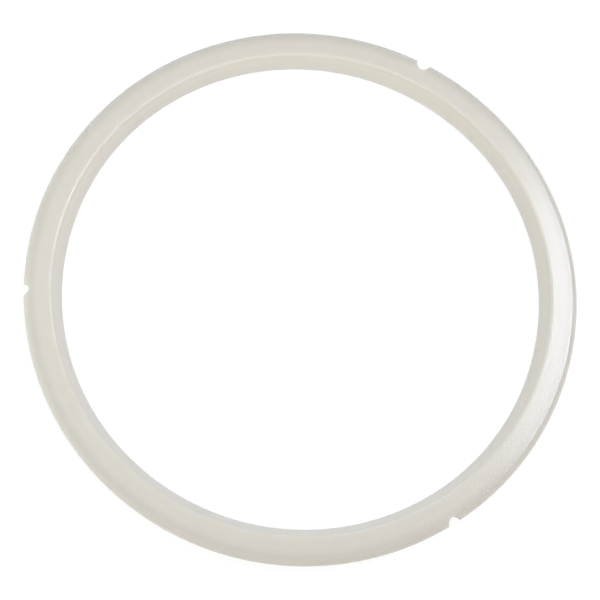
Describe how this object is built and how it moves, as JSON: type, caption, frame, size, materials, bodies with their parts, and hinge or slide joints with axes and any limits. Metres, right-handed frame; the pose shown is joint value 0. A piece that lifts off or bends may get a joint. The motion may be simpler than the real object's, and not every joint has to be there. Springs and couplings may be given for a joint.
{
  "type": "pressure cooker sealing ring",
  "caption": "Translucent silicone gasket ring with a flat lid face, a tapered sealing lip inside, a channel below for the pot's rim, a leg behind it and an outer flange with round notches.",
  "frame": {"origin": "on the ring's axis, in the plane of the leg's foot, which the ring lies on", "axes": "+Z along the ring's axis from the foot up to the lid face; one notch lies towards -X, and the other two are spread evenly either side of +X"},
  "size_m": [0.24, 0.24, 0.009],
  "materials": {
    "silicone": "translucent off-white silicone with a satin moulded surface"
  },
  "bodies": {
    "root": {"sealing_ring": "silicone"}
  },
  "joints": []
}
